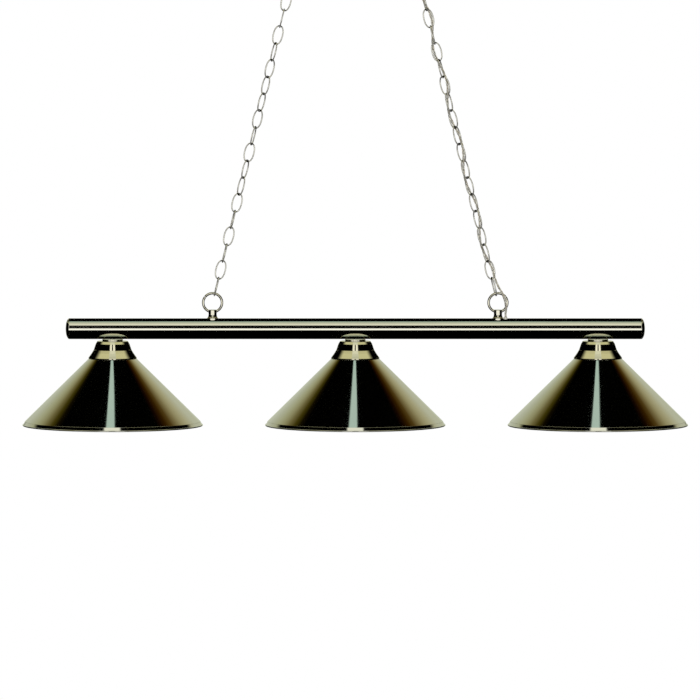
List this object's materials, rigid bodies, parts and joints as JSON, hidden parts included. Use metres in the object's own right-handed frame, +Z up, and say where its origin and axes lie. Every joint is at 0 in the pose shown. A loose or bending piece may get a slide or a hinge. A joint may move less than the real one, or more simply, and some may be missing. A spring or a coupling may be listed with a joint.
{
  "type": "pool table lamp",
  "caption": "Pool table lamp: brushed nickel tube bar with cone metal shades, hung from a round ceiling canopy by oval-link chains, with a clear cord woven through one chain.",
  "frame": {"origin": "centre of the fixture strap where it meets the ceiling box, on the ceiling plane", "axes": "+Z up, +X along the bar to the right as seen from the front, -Y towards the front"},
  "size_m": [1.3116, 0.3555, 1.2874],
  "materials": {
    "brass": "bare brass",
    "brushed_bar": "nickel brushed along the tube",
    "brushed_cone": "nickel brushed around the cone",
    "bulb_metal": "plain aluminium",
    "canopy_nickel": "brushed nickel plate",
    "chain_nickel": "nickel-plated steel wire",
    "clear_cord": "clear silver-tan cord jacket",
    "clear_plastic": "clear moulded plastic",
    "connector_plastic": "moulded plastic",
    "frosted_glass": "frosted",
    "ground_green": "green plated",
    "phenolic_black": "moulded phenolic",
    "polished_collar": "fine brushed nickel",
    "polished_nickel": "polished nickel plate",
    "wire_insulation": "wire insulation",
    "zinc_steel": "zinc plated"
  },
  "bodies": {
    "canopy": {"fixture_strap": "zinc_steel", "canopy_cover": "canopy_nickel", "canopy_screws": "zinc_steel", "canopy_cap_nuts": "canopy_nickel", "canopy_loop_left": "polished_nickel", "canopy_loop_right": "polished_nickel", "canopy_loop_nuts": "zinc_steel", "canopy_cord_bushing": "clear_plastic", "ground_screw": "ground_green", "canopy_wire_connectors": "connector_plastic", "canopy_leads": "wire_insulation"},
    "upper_links": {"upper_link_left": "chain_nickel", "upper_link_right": "chain_nickel", "cord_upper_tail": "clear_cord"},
    "right_chain": {"right_chain_upper": "chain_nickel", "right_chain_lower": "chain_nickel", "cord_weave": "clear_cord"},
    "left_chain": {"left_chain_upper": "chain_nickel", "left_chain_lower": "chain_nickel"},
    "lower_links": {"lower_link_left": "chain_nickel", "lower_link_right": "chain_nickel", "cord_lower_tail": "clear_cord"},
    "bulb_left": {"bulb_base_left": "bulb_metal", "bulb_glass_left": "frosted_glass"},
    "retainer_left": {"shade_retainer_left": "phenolic_black"},
    "bulb_centre": {"bulb_base_centre": "bulb_metal", "bulb_glass_centre": "frosted_glass"},
    "retainer_centre": {"shade_retainer_centre": "phenolic_black"},
    "bulb_right": {"bulb_base_right": "bulb_metal", "bulb_glass_right": "frosted_glass"},
    "retainer_right": {"shade_retainer_right": "phenolic_black"},
    "lamp_bar": {"bar_cord_bushing": "clear_plastic", "bar_leads": "wire_insulation", "bar_loop_left": "polished_nickel", "bar_loop_nuts": "zinc_steel", "bar_loop_right": "polished_nickel", "bar_tube": "brushed_bar", "bar_wire_connectors": "connector_plastic", "end_cap_left": "brushed_bar", "end_cap_right": "brushed_bar", "lamp_nipples": "zinc_steel", "nipple_nuts": "zinc_steel", "shade_collar_centre": "polished_collar", "shade_collar_left": "polished_collar", "shade_collar_right": "polished_collar", "shade_cone_centre": "brushed_cone", "shade_cone_left": "brushed_cone", "shade_cone_right": "brushed_cone", "socket_body_centre": "phenolic_black", "socket_body_left": "phenolic_black", "socket_body_right": "phenolic_black", "socket_contacts": "brass", "socket_cup_centre": "polished_collar", "socket_cup_left": "polished_collar", "socket_cup_right": "polished_collar", "socket_leads": "wire_insulation", "socket_shell_centre": "brass", "socket_shell_left": "brass", "socket_shell_right": "brass"}
  },
  "joints": [
    {"name": "fore_aft_swing", "type": "hinge", "parent": "canopy", "child": "upper_links", "pos_m": [0, 0, -0.07387], "axis": [1, 0, 0], "range_deg": [-25, 25], "deforming": ["cord_upper_tail"]},
    {"name": "side_sway", "type": "hinge", "parent": "upper_links", "child": "right_chain", "pos_m": [0.05167, 0, -0.10573], "axis": [0, 1, 0], "range_deg": [-6, 6]},
    {"name": "left_chain_sway", "type": "hinge", "parent": "upper_links", "child": "left_chain", "pos_m": [-0.05167, 0, -0.10573], "axis": [0, 1, 0], "range_deg": [-6.1, 6.1]},
    {"name": "bar_levelling", "type": "hinge", "parent": "right_chain", "child": "lower_links", "pos_m": [0.26883, 0, -0.9947], "axis": [0, 1, 0], "range_deg": [-1.2, 1.2]},
    {"name": "bar_rock", "type": "hinge", "parent": "lower_links", "child": "lamp_bar", "pos_m": [0, 0, -1.02656], "axis": [1, 0, 0], "range_deg": [-20, 20], "deforming": ["cord_lower_tail"]},
    {"name": "bulb_turn_left", "type": "hinge", "parent": "lamp_bar", "child": "bulb_left", "pos_m": [-0.478, 0, -1.15013], "axis": [0, 0, -1], "range_deg": [0, 1080]},
    {"name": "retainer_turn_left", "type": "hinge", "parent": "lamp_bar", "child": "retainer_left", "pos_m": [-0.478, 0, -1.15513], "axis": [0, 0, -1], "range_deg": [0, 720]},
    {"name": "bulb_turn_centre", "type": "hinge", "parent": "lamp_bar", "child": "bulb_centre", "pos_m": [0, 0, -1.15013], "axis": [0, 0, -1], "range_deg": [0, 1080]},
    {"name": "retainer_turn_centre", "type": "hinge", "parent": "lamp_bar", "child": "retainer_centre", "pos_m": [0, 0, -1.15513], "axis": [0, 0, -1], "range_deg": [0, 720]},
    {"name": "bulb_turn_right", "type": "hinge", "parent": "lamp_bar", "child": "bulb_right", "pos_m": [0.478, 0, -1.15013], "axis": [0, 0, -1], "range_deg": [0, 1080]},
    {"name": "retainer_turn_right", "type": "hinge", "parent": "lamp_bar", "child": "retainer_right", "pos_m": [0.478, 0, -1.15513], "axis": [0, 0, -1], "range_deg": [0, 720]}
  ],
  "couplings": [
    {"joint": "left_chain_sway", "follows": "side_sway", "ratio": 1},
    {"joint": "bar_levelling", "follows": "side_sway", "ratio": -0.19222}
  ]
}
